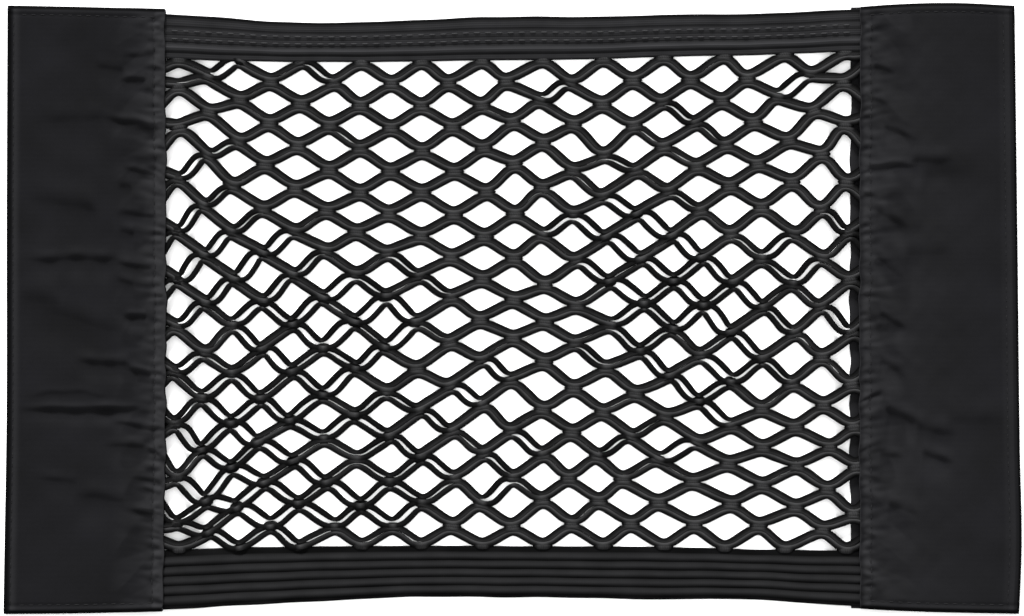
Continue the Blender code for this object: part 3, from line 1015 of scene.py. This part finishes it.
        clear = eased((at - 0.02) / 0.14) * eased((0.98 - at) / 0.14)
        opened = self.along_legs(self.gap[..., None] * clear)
        beside = np.pad(self.gap, ((0, 0), (1, 1)))
        held_open = np.minimum(beside[:, :-1], beside[:, 1:]) * (0.36 - 0.30 * inner)
        gap = opened + at_knots(held_open)
        apart = eased(opened / APART_GAP)
        held_in = self.along_legs(eased(at / 0.30) * eased((1.0 - at) / 0.30) + 0.0 * self.gap[..., None])
        spacing = net.knot_spacing + (net.pair_spacing - net.knot_spacing) * held_in
        flat = flat + upper * side * ((spacing + gap) / 2)[..., None]
        stray = 0.00022 * wander(26 if upper > 0 else 27, flat[..., 0], flat[..., 1], 0.009) * (0.3 + apart)
        flat = softened(flat + side * stray[..., None], 2)
        widest = np.maximum(np.maximum(beside[:, :-2], beside[:, 1:-1]), beside[:, 2:])
        rounder = softened(self.along_legs(eased(widest / ROUND_GAP)[..., None] + 0.0 * at), 4)
        flat = flat + (softened(flat, 2) - flat) * rounder[..., None]
        over = self.loose * self.valley * (0.5 + 0.5 * (self.column % 2)) * CROSSING_LIFT
        lift = at_knots(0.00016 * inner + over) * (1.0 - tucked(flat[..., 0]))
        height = net.cord_thickness / 2 + rise(flat[..., 0]) + lift
        half_width = net.cord_width / 2 * (0.78 + 0.22 * held_in)
        half_width = half_width * (1.0 + 0.07 * wander(24, flat[..., 0], flat[..., 1], 0.012))
        path = np.concatenate([flat, height[..., None]], axis=-1)
        # Painted shade on each cord's side away from its pair, and where the two cords run apart
        outward = upper * np.cos(math.tau * np.arange(CORD_SIDES) / CORD_SIDES)
        rim = eased((outward + 0.45) / 0.62) * (1.0 if upper > 0 else 0.9)
        dark = np.maximum(rim * (1.0 - at_knots(inner))[..., None], 0.9 * apart[..., None])
        return path, half_width, dark


def add_cords(net):
    """The net's cords: every wave's two cords as oval strips along their paths."""
    waves = Waves(net)
    both = zip(waves.cords(net, 1.0), waves.cords(net, -1.0))
    path, half_width, dark = (np.concatenate(parts) for parts in both)
    half_height = np.full(half_width.shape, net.cord_thickness / 2)
    sections = swept(path, half_width, half_height, CORD_SIDES)
    return loft("net_cords", sections, cord_finish(tuple(net.cord_colour)), dark)


def add_knots(net):
    """The knots: a spindle round the two inner cords of each crossing, along the way they run there.

    Its half width falls off towards its blunt ends by the root of one less the cube of the share of its
    half length, with faint ribs, and grows with the slack of its legs.
    """
    waves = Waves(net)
    inside = (waves.column > 0) & (waves.column < CELL_COLUMNS)
    crossings = (~waves.valley & inside, waves.valley & (waves.row == CELL_ROWS) & inside)

    def picked(values):
        """The values of one knot for each crossing."""
        return np.concatenate([values[crossing] for crossing in crossings])

    middle = picked(waves.knot)
    way = picked(waves.way)
    loose = picked(waves.loose)
    border = band_side(picked(waves.row))
    draw = np.random.default_rng(31)
    reach = net.knot_length * (0.88 + 0.24 * draw.random(len(middle))) * (1.0 - 0.10 * loose)
    at = np.sin(math.pi * np.linspace(-0.5, 0.5, KNOT_STEPS))
    flat = middle[:, None, :] + (way * reach[:, None])[:, None, :] * at[None, :, None]
    flat[..., 1] += border[:, None] * KNOT_OVERLAP
    ribs = 1.0 + 0.05 * np.cos(math.tau * 2.5 * at)
    share = 0.08 + 0.92 * np.sqrt(np.clip(1.0 - np.abs(at) ** 3, 0.0, 1.0)) * ribs
    full_height = KNOT_HALF_HEIGHT - 0.00003 * tucked(flat[..., 0]) - 0.00002 * loose[:, None]
    half_height = full_height * (0.30 + 0.70 * share)
    height = half_height + rise(flat[..., 0]) + 0.00003
    paths = np.concatenate([flat, height[..., None]], axis=-1)
    fuller = 0.60 * loose * (1.0 - 0.7 * np.abs(border))
    wide = net.knot_width * (0.90 + 0.20 * draw.random(len(middle)) + fuller)
    sections = swept(paths, wide[:, None] * share[None, :], half_height, KNOT_SIDES)
    # Painted shade towards each knot's tapered ends, and over loose knots by a random share of their slack
    deep = (0.70 + 0.25 * draw.random((len(middle), 1))) * loose[:, None]
    ends = eased((np.abs(at) - 0.40) / 0.45)[None, :]
    dark = np.broadcast_to(np.maximum(ends, deep)[..., None], sections.shape[:3])
    return loft("net_knots", sections, knot_finish(tuple(net.knot_colour)), dark)


def band_edges(sections, x):
    """The band's outer and inner edges at x, with a slight unevenness."""
    outer = curve_at(sections, "x", "outer_y", x) + 0.00018 * wander(41, x, 0.0, 0.031)
    inner = curve_at(sections, "x", "inner_y", x) + 0.00010 * wander(42, x, 0.0, 0.017)
    return outer, inner


def over_face(values):
    """A value round a band's outline: 0 along its flat back, and its own over the face."""
    return np.concatenate([np.zeros(BAND_BACK_COLUMNS), values[::-1]])[None, :]


def add_band(name, sections, share, height, dark, material):
    """A band: its outline, carried along x between its two edges and lifted into the panels."""
    back = np.linspace(share[0], share[-1], BAND_BACK_COLUMNS)
    shares = np.concatenate([back, share[::-1]])[None, :]
    x = np.linspace(-NET_LENGTH / 2, NET_LENGTH / 2, BAND_STATIONS)[:, None]
    outer, inner = band_edges(sections, x)
    low = np.minimum(outer, inner)
    high = np.maximum(outer, inner)
    bent = 0.00022 * wander(44, x, 0.0, 0.030) * (4.0 * shares * (1.0 - shares))
    y = low + (high - low) * shares + bent
    z = rise(x) + over_face(height) * (1.0 + 0.08 * wander(43, x, y, 0.012))
    surface = np.stack([x + 0.0 * y, y, z], axis=-1)
    # The painted shade, a little uneven along the band
    shade = over_face(dark) * (1.0 + 0.16 * wander(45, 0.5 * x, y, 0.010))
    return loft(name, surface[None], material, shade)


def rounded_edge(share, radius):
    """1 inside a strip, and a quarter-circle fall within a radius of either edge, by shares of its width."""
    held = np.clip(1.0 - np.minimum(share, 1.0 - share) / radius, 0.0, 1.0)
    return np.sqrt(np.clip(1.0 - held**2, 0.0, 1.0))


def stitch_line(points, length, diameter, pitch, height):
    """Short stitches along a line: each a low arch of thread that dips into the cloth at both ends."""
    steps = np.linalg.norm(np.diff(points, axis=0), axis=-1)
    along = lengths_along(steps[None])[0]
    count = int(along[-1] / pitch)
    starts = (np.arange(count) + 0.5) * pitch - length / 2
    at = starts[:, None] + np.linspace(0.0, length, STITCH_STEPS)[None, :]
    places = np.stack([np.interp(at, along, points[:, axis]) for axis in range(3)], axis=-1)
    arch = np.sqrt(np.clip(1.0 - np.linspace(-1.0, 1.0, STITCH_STEPS) ** 2, 0.0, 1.0))
    places[..., 2] += height * (arch[None, :] - 0.55)
    radius = diameter / 2 * np.array([0.6, 0.95, 1.0, 1.0, 0.95, 0.6])
    return places, np.broadcast_to(radius, places.shape[:2])


def add_stitches(name, lines, length, diameter, pitch, height, material):
    """All stitches of several lines as one piece."""
    made = [stitch_line(line, length, diameter, pitch, height) for line in lines]
    paths, radius = (np.concatenate(parts) for parts in zip(*made))
    return loft(name, swept(paths, radius, radius * 0.8, STITCH_SIDES), material)


def panel_level(share, to_end):
    """Height of a panel's face before its creases: raised over the tucked net, pressed flat beyond it."""
    pressed = eased((share - SLOT_SHARE) / (PRESSED_SHARE - SLOT_SHARE))
    level = SEAM_HEIGHT + (PANEL_HEIGHT - SEAM_HEIGHT) * pressed
    return level - 0.0009 * (1.0 - eased(to_end / 0.0016))


def crease_relief(creases, y, share, scale):
    """The creases: each drops sharply on its upper side and comes back slowly on its lower one.

    A crease is a bell across its line, narrow above and wide below, widest at its seam end, with a soft
    ridge over it. Gives the relief, the painted shade of the crease along its line and down its slow side,
    and the painted highlight on the lit cloth below and above it.
    """
    relief = np.zeros(y.shape)
    sharp = np.zeros(y.shape)
    slow = np.zeros(y.shape)
    for number, crease in enumerate(creases):
        along = (share - crease.near) / (crease.far - crease.near)
        bend = 0.0009 * wander(60 + number, share, 0.0, 0.30)
        middle = crease.near_y + (crease.far_y - crease.near_y) * along + bend
        off = (y - middle) / crease.width
        kept = eased(along / 0.16) * eased((1.0 - along) / 0.40)
        kept = kept * (0.78 + 0.30 * wander(20 + number, share, y, 0.16))
        slope = 3.4 - 1.8 * np.clip(along, 0.0, 1.0)
        valley = np.where(off > 0.0, hump(off / 0.7), hump(off / slope)) * kept
        ridge = hump((off - 1.7) / 1.1) * kept
        relief += crease.depth * scale * (0.50 * ridge - valley)
        weight = kept * min(1.0, crease.depth / 0.0010) * min(1.0, 0.0014 / crease.width) ** 0.6
        sharp += weight * (0.55 * hump(off / 0.80) + 0.40 * hump((off + 0.5 * slope) / (0.6 * slope)))
        slow += weight * (0.7 * hump((off + 3.2) / 2.0) + 0.5 * hump((off - 1.9) / 0.9))
    return relief, sharp, slow


def puckers(seed, y, from_seam, depth, low, high):
    """Fine puckers along the seam: seeded short troughs that fan out from it and fade within 15 mm."""
    draw = np.random.default_rng(seed)
    spots = low + (high - low) * (np.arange(PUCKERS) + 0.25 + 0.5 * draw.random(PUCKERS)) / PUCKERS
    total = np.zeros(y.shape)
    for spot, lean, reach, width, weight in zip(
        spots,
        draw.normal(0.0, 0.22, PUCKERS),
        0.005 + 0.012 * draw.random(PUCKERS) ** 2,
        0.0005 + 0.0006 * draw.random(PUCKERS),
        0.4 + 0.9 * draw.random(PUCKERS),
    ):
        off = y - spot - lean * from_seam
        wide = width + 0.10 * from_seam
        total += weight * hump(from_seam / reach) * (0.7 * hump((off - 1.6 * wide) / wide) - hump(off / wide))
    return depth * total


def panel_face(shape, panel, share, down):
    """The face of a panel, at shares of the way from seam to fold and shares of its length.

    Gives x, y and the height, and the painted shade of each place in a trough or on an edge, below 0
    where painted light pales the cloth: along the seam, on the fold and ends, and beside each crease.
    """
    low = curve_at(shape.ends, "share", "low_y", share)
    high = curve_at(shape.ends, "share", "high_y", share)
    y = low + (high - low) * down
    seam_x = curve_at(shape.sides, "y", "seam_x", y) + shape.side * 0.00042 * wander(51, y, 0.0, 0.0105)
    fold_x = curve_at(shape.sides, "y", "fold_x", y)
    x = seam_x + (fold_x - shape.side * panel.fold_radius - seam_x) * share
    to_end = np.minimum(y - low, high - y)
    from_seam = np.abs(x - seam_x)
    to_fold = np.abs(fold_x - x)

    # The height: the panel's level with its creases, gathers, slow waves, stitch rows and rolled edges
    inside = eased(to_end / 0.004) * eased((to_fold - 0.0008) / 0.005)
    relief, sharp, slow = crease_relief(shape.creases, y, share, panel.crease_scale)
    crinkle = wander(83, 0.45 * from_seam, y, 0.0032) * hump(from_seam / 0.012)
    gathers = puckers(shape.seed, y, from_seam, panel.pucker_depth, low.min(), high.max())
    gathers = gathers + 0.00012 * crinkle
    relief = relief * inside + gathers * eased(to_end / 0.003) * eased((from_seam - 0.0002) / 0.002)
    relief = relief + (0.00030 * wander(81, x, y, 0.040) + 0.00012 * wander(82, 0.6 * x, y, 0.013)) * inside
    hem = panel.hem_width
    strip = panel.seam_strip
    row = hump((to_end - hem) / ROW_WIDTH) + hump((to_fold - (hem + shape.row_shift)) / ROW_WIDTH)
    row = row + 0.8 * hump((from_seam - strip) / ROW_WIDTH)
    roll = hump((to_fold - 0.5 * hem) / ROLL_WIDTH) + hump((to_end - 0.5 * hem) / ROLL_WIDTH)
    roll = roll + 1.5 * hump((from_seam - 0.45 * strip) / 0.0012)
    relief = relief - 0.00018 * row + 0.00014 * roll
    over_net = TUCK_HEIGHT + NET_THICKNESS + panel.thickness + LAYER_GAP
    least = np.where(share < SLOT_SHARE, over_net, 2.0 * panel.thickness + LAYER_GAP)
    height = np.maximum(panel_level(share, to_end) + relief, least)

    # The painted shade: dark in troughs, gathers and stitch rows and on the edges, and painted light where
    # the cloth is paler
    pulled_in = np.clip(-gathers / panel.pucker_depth, 0.0, 1.0)
    dark = 0.50 * sharp * inside + 0.42 * pulled_in + 0.16 * row
    # Painted light: paler on the seam strip and beside the seam, with a painted dark line where an amount is
    # below 0, in lit facets near the seam, on the rolled fold and ends, and on the lit slopes beside creases
    painted_light = shape.strip_wear * (1.0 - eased((from_seam - strip + 0.0004) / 0.0008))
    for lit_band in shape.seam_wear:
        painted_light = painted_light + lit_band.amount * hump(from_seam / lit_band.reach)
    painted_light = painted_light * (1.0 + 0.45 * crinkle + 0.25 * wander(84, x, y, 0.006))
    facets = 0.22 * (1.0 - eased((from_seam - shape.facet_start) / shape.facet_run))
    facet = eased(0.5 + 2.2 * wander(86, x + 0.7 * shape.side * y, 0.8 * y, 0.014))
    painted_light = (painted_light + facets * (facet - 0.4)) * eased(to_end / 0.003)
    on_fold = eased((to_fold - 0.0019) / 0.0008) * (1.0 - eased((to_fold - shape.fold_width) / 0.0032))
    on_end = eased((to_end - 0.0010) / 0.0008) * (1.0 - eased((to_end - 0.0016) / 0.0020))
    painted_light = painted_light + shape.fold_wear * on_fold + 0.26 * on_end + 0.30 * slow * inside
    # Painted shade on the end edges and along the turned fold's edge
    edge = 1.0 - eased((to_end - 0.0009) / 0.0009)
    turned = (1.0 - eased((to_fold - 0.0016) / 0.0009)) * shape.fold_dark
    shade = np.clip(dark - painted_light, -1.0, 1.0)
    shade = shade + (1.0 - shade) * np.clip(edge + turned, 0.0, 1.0)
    return x, y, height, shade


def outline_part(x, y, z, dark):
    """Points of a part of the outlines, with how dark they are as a fourth column."""
    return np.stack(np.broadcast_arrays(x, y, z, dark), axis=-1)


def panel_sections(shape, panel):
    """A panel's closed outlines, one at each station along its length, and the painted shade of each point.

    From the seam along the flat back, half round the fold, back along the face, round its turned edge,
    and the same way home on the inside, one cloth's thickness in.
    """
    thick = panel.thickness
    round_edge = 0.5 * thick
    down = np.linspace(0.0, 1.0, PANEL_STATIONS)[:, None]
    share = np.linspace(1.0, 0.0, FACE_COLUMNS)
    share = (share - 0.07 * np.sin(math.pi * share))[None, :] + 0.0 * down
    x, y, z, dark = panel_face(shape, panel, share, down)
    turn_x = x[:, :1]
    turn_y = y[:, :1]
    edge_x = x[:, -1:]
    edge_y = y[:, -1:]
    edge_z = z[:, -1:]
    half = z[:, :1] / 2
    turn = math.pi * (np.arange(1, FOLD_PARTS)[None, :] / FOLD_PARTS - 0.5)
    out = shape.side * np.cos(turn)
    fold = outline_part(turn_x + panel.fold_radius * out, turn_y, half + half * np.sin(turn), 1.0)
    inner_x = turn_x + (panel.fold_radius - thick) * out
    inner_fold = outline_part(inner_x, turn_y, half + (half - thick) * np.sin(turn), 0.8)
    back_share = np.linspace(0.0, 1.0, BACK_COLUMNS)[None, :]
    seam_x = edge_x - shape.side * shape.back_reach
    back_x = seam_x + (turn_x - seam_x) * back_share
    back_y = edge_y + (turn_y - edge_y) * back_share
    # Painted light on the back layer beside the seam, where the face above shades it
    back_dark = -0.5 * (1.0 - eased(back_share / 0.08))
    bend = math.pi * np.arange(1, EDGE_PARTS)[None, :] / EDGE_PARTS
    past = shape.side * round_edge * np.sin(bend)
    # Painted shade: full on the fold's outside, less on its inside and the face's underside; painted light on
    # the turned edge at the seam
    parts = (
        outline_part(back_x, back_y, 0.0, back_dark),
        fold,
        outline_part(x, y, z, dark),
        outline_part(edge_x - past, edge_y, edge_z - round_edge * (1.0 - np.cos(bend)), -0.9),
        outline_part(x, y, z - thick, 0.5)[:, ::-INNER_STEP],
        inner_fold[:, ::-1],
        outline_part(back_x, back_y, thick, back_dark)[:, ::-1],
        outline_part(seam_x - past, edge_y, round_edge * (1.0 + np.cos(bend)), 0.0),
    )
    points = np.concatenate(parts, axis=1)
    if shape.side > 0:
        points = points[::-1]
    return points[..., :3], points[..., 3]


def panel_rows(shape, panel):
    """The lines that a panel's stitches follow: along its fold, its two ends and its seam."""
    down = np.linspace(0.012, 0.988, 240)
    across = np.linspace(0.05, 0.95, 120)
    fold = 1.0 - (panel.hem_width + shape.row_shift - panel.fold_radius) / PANEL_WIDTH
    end = panel.hem_width / PANEL_LENGTH
    seam = panel.seam_strip / PANEL_WIDTH
    lines = []
    for row in ((fold, down), (across, end), (across, 1.0 - end), (seam, down)):
        share, along = np.broadcast_arrays(*row)
        lines.append(np.stack(panel_face(shape, panel, share, along)[:3], axis=-1))
    return lines


def follow(piece):
    """Makes a piece move with the object."""
    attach(piece, BODY)


def settle(piece, node):
    """Makes a piece stand for a node of the frame and move with the object."""
    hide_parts(node)
    follow(piece)


class CARGONET_OT_stage(bpy.types.Operator):
    """Add the floor, the lights and the camera"""

    bl_idname = "cargo_net.stage"
    bl_label = "Stage"

    def execute(self, context):
        stage = context.scene.cargo_net_stage
        square = stage.floor_size * np.array([(0.0, 0.0), (1.0, 0.0), (1.0, 1.0), (0.0, 1.0)])
        points = np.pad(square - stage.floor_size / 2, ((0, 0), (0, 1)))
        finish = floor_finish(tuple(stage.floor_colour))
        floor = add_mesh("floor", points, [np.array([(0, 1, 2, 3)])], square, finish)
        world = bpy.data.worlds.new("studio")
        world.use_nodes = True
        sky = world.node_tree.nodes["Background"]
        sky.inputs["Color"].default_value = (1.0, 1.0, 1.0, 1.0)
        sky.inputs["Strength"].default_value = stage.sky_strength
        context.scene.world = world
        lamp = bpy.data.lights.new("slanting_sun", "SUN")
        lamp.energy = stage.sun_strength
        lamp.angle = stage.sun_width
        sun = bpy.data.objects.new("slanting_sun", lamp)
        sun.location = SUN_PLACE
        sun.rotation_euler = (stage.sun_height - math.pi / 2, 0.0, stage.sun_turn)
        context.scene.collection.objects.link(sun)
        view = bpy.data.cameras.new("camera")
        view.sensor_width = SENSOR_WIDTH
        view.lens = view.sensor_width * stage.camera_height / stage.view_width
        camera = bpy.data.objects.new("camera", view)
        camera.location = (VIEW_X, VIEW_Y, stage.camera_height)
        context.scene.collection.objects.link(camera)
        context.scene.camera = camera
        context.scene.view_settings.view_transform = "Standard"
        return {"FINISHED"}


class CARGONET_OT_cords(bpy.types.Operator):
    """Add the paired elastic cords of the net"""

    bl_idname = "cargo_net.cords"
    bl_label = "Cords"

    def execute(self, context):
        cords = add_cords(context.scene.cargo_net_net)
        settle(cords, "net")
        return {"FINISHED"}


class CARGONET_OT_knots(bpy.types.Operator):
    """Add the knots where the cords are knitted together"""

    bl_idname = "cargo_net.knots"
    bl_label = "Knots"

    def execute(self, context):
        cords = context.scene.objects.get("net_cords")
        if cords is None:
            raise RuntimeError("the cords are added before the knots")
        knots = add_knots(context.scene.cargo_net_net)
        follow(knots)
        return {"FINISHED"}


class CARGONET_OT_stitched_band(bpy.types.Operator):
    """Add the flat elastic band with its two stitch rows"""

    bl_idname = "cargo_net.stitched_band"
    bl_label = "Stitched band"

    def execute(self, context):
        bands = context.scene.cargo_net_bands
        share = np.linspace(0.0, 1.0, TOP_COLUMNS)
        outward = 1.0 - share
        height = bands.flat_height * (0.25 + 0.75 * rounded_edge(share, 0.035))
        # Painted shade on the rounded edges, the outer strip and in the grooves; painted highlight on ridges,
        # the grooves of negative depth
        dark = 1.0 - rounded_edge(share, 0.05) + 0.85 * (1.0 - eased((outward - 0.04) / 0.09))
        for groove in TOP_GROOVES:
            bell = hump((outward - groove.place) / groove.width)
            height = height - groove.depth * bell
            dark = dark + groove.depth / GROOVE_DARK * bell
        dark = np.clip(dark, -0.8, 1.0)
        finish = band_finish(tuple(bands.band_colour))
        band = add_band("stitched_band", TOP_BAND, share, height, dark, finish)
        settle(band, "top_band")
        reach = NET_LENGTH / 2 - STITCH_ROW_MARGIN
        x = np.linspace(-reach, reach, 400)
        outer, inner = band_edges(TOP_BAND, x)
        lines = []
        for row in TOP_STITCH_ROWS:
            level = np.interp(1.0 - row, share, height)
            lines.append(np.stack([x, outer + (inner - outer) * row, rise(x) + level], axis=-1))
        thread = thread_finish("band_thread", tuple(bands.thread_colour))
        pitch = bands.stitch_pitch
        length = BAND_STITCH_SHARE * pitch
        diameter = bands.thread_diameter
        stitches = add_stitches("band_stitches", lines, length, diameter, pitch, BAND_STITCH_HEIGHT, thread)
        follow(stitches)
        return {"FINISHED"}


class CARGONET_OT_ribbed_band(bpy.types.Operator):
    """Add the ribbed elastic band"""

    bl_idname = "cargo_net.ribbed_band"
    bl_label = "Ribbed band"

    def execute(self, context):
        bands = context.scene.cargo_net_bands
        share = np.linspace(0.0, 1.0, BOTTOM_COLUMNS)
        count = (share - bands.rib_start) / (bands.rib_end - bands.rib_start) * bands.rib_count
        inside = (count > 0.0) & (count < bands.rib_count)
        across = np.where(inside, np.mod(count, 1.0) * 2.0 - 1.0, 1.0)
        rib = np.sqrt(np.clip(1.0 - 0.96 * across**2, 0.0, 1.0))
        height = (bands.base_height + bands.rib_height * rib) * (0.35 + 0.65 * rounded_edge(share, 0.02))
        # Painted shade: darkest down in the grooves between the ribs and on the margins outside them
        dark = np.clip(0.95 * np.abs(across) ** 1.25, 0.0, 1.0)
        finish = rib_finish(tuple(bands.rib_colour))
        band = add_band("ribbed_band", BOTTOM_BAND, share, height, dark, finish)
        settle(band, "bottom_band")
        return {"FINISHED"}


class CARGONET_OT_panels(bpy.types.Operator):
    """Add the two folded cloth panels and their stitches"""

    bl_idname = "cargo_net.panels"
    bl_label = "Cloth panels"

    def execute(self, context):
        panel = context.scene.cargo_net_panels
        cloth = cloth_finish(tuple(panel.cloth_colour))
        thread = thread_finish("panel_thread", tuple(panel.thread_colour))
        pitch = panel.stitch_pitch
        length = PANEL_STITCH_SHARE * pitch
        diameter = panel.thread_diameter
        for shape in (LEFT_PANEL, RIGHT_PANEL):
            sections, shade = panel_sections(shape, panel)
            piece = loft(f"{shape.name}_cloth", sections[None], cloth, shade)
            settle(piece, f"{shape.name}_panel")
            lines = panel_rows(shape, panel)
            name = f"{shape.name}_stitches"
            stitches = add_stitches(name, lines, length, diameter, pitch, PANEL_STITCH_HEIGHT, thread)
            follow(stitches)
        return {"FINISHED"}


class CARGONET_PT_layout(bpy.types.Panel):
    """The cargo net's pieces and their sizes"""

    bl_idname = "CARGONET_PT_layout"
    bl_label = "Cargo Net"
    bl_space_type = "VIEW_3D"
    bl_region_type = "UI"
    bl_category = "Cargo Net"

    def draw(self, context):
        for name, kind, steps in GROUPS:
            box = self.layout.box()
            group = getattr(context.scene, name)
            for key in kind.__annotations__:
                box.prop(group, key)
            for step in steps:
                box.operator(step.bl_idname)


GROUPS = (
    ("cargo_net_stage", StageProperties, (CARGONET_OT_stage,)),
    ("cargo_net_net", NetProperties, (CARGONET_OT_cords, CARGONET_OT_knots)),
    ("cargo_net_bands", BandProperties, (CARGONET_OT_stitched_band, CARGONET_OT_ribbed_band)),
    ("cargo_net_panels", PanelProperties, (CARGONET_OT_panels,)),
)


def register():
    for name, kind, steps in GROUPS:
        bpy.utils.register_class(kind)
        setattr(bpy.types.Scene, name, PointerProperty(type=kind))
        for step in steps:
            bpy.utils.register_class(step)
    bpy.utils.register_class(CARGONET_PT_layout)


def unregister():
    bpy.utils.unregister_class(CARGONET_PT_layout)
    for name, kind, steps in GROUPS:
        for step in steps:
            bpy.utils.unregister_class(step)
        delattr(bpy.types.Scene, name)
        bpy.utils.unregister_class(kind)


def main():
    register()
    bpy.ops.cargo_net.stage()
    bpy.ops.cargo_net.stitched_band()
    bpy.ops.cargo_net.ribbed_band()
    bpy.ops.cargo_net.panels()
    bpy.ops.cargo_net.cords()
    bpy.ops.cargo_net.knots()


if __name__ == "__main__":
    main()
